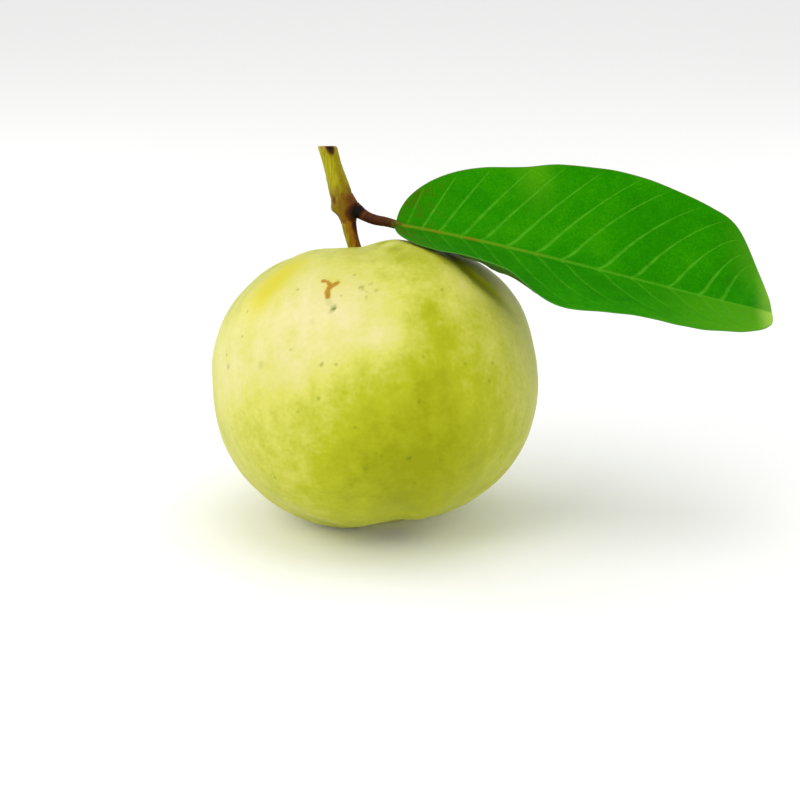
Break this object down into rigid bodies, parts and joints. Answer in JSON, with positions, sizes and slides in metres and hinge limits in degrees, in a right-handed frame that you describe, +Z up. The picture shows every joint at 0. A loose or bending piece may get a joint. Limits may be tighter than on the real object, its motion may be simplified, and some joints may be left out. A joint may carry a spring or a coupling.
{
  "type": "guava fruit with leaf",
  "caption": "Round pale green guava resting on a flat spot, with its stalk, a short cut twig and one broad veined leaf.",
  "frame": {"origin": "centre of the flat spot on the underside that the fruit rests on", "axes": "+Z up from the surface it rests on, +X towards the leaf's tip, +Y away from the side that shows in the picture; the stem end leans towards +Y"},
  "size_m": [0.1619, 0.0943, 0.108],
  "materials": {
    "fruit_skin": "thin waxy fruit skin, pale yellow-green, satin",
    "dried_calyx": "dry brown sepals, matte",
    "stalk_bark": "young brown bark, satin",
    "twig_bark": "olive green young bark, browner at the node, satin",
    "petiole_bark": "dark brown leaf stalk, satin",
    "leaf_blade": "leathery green leaf with paler veins, satin"
  },
  "bodies": {
    "root": {"fruit": "fruit_skin", "calyx": "dried_calyx", "stalk": "stalk_bark", "twig": "twig_bark", "petiole": "petiole_bark", "leaf": "leaf_blade"}
  },
  "joints": []
}
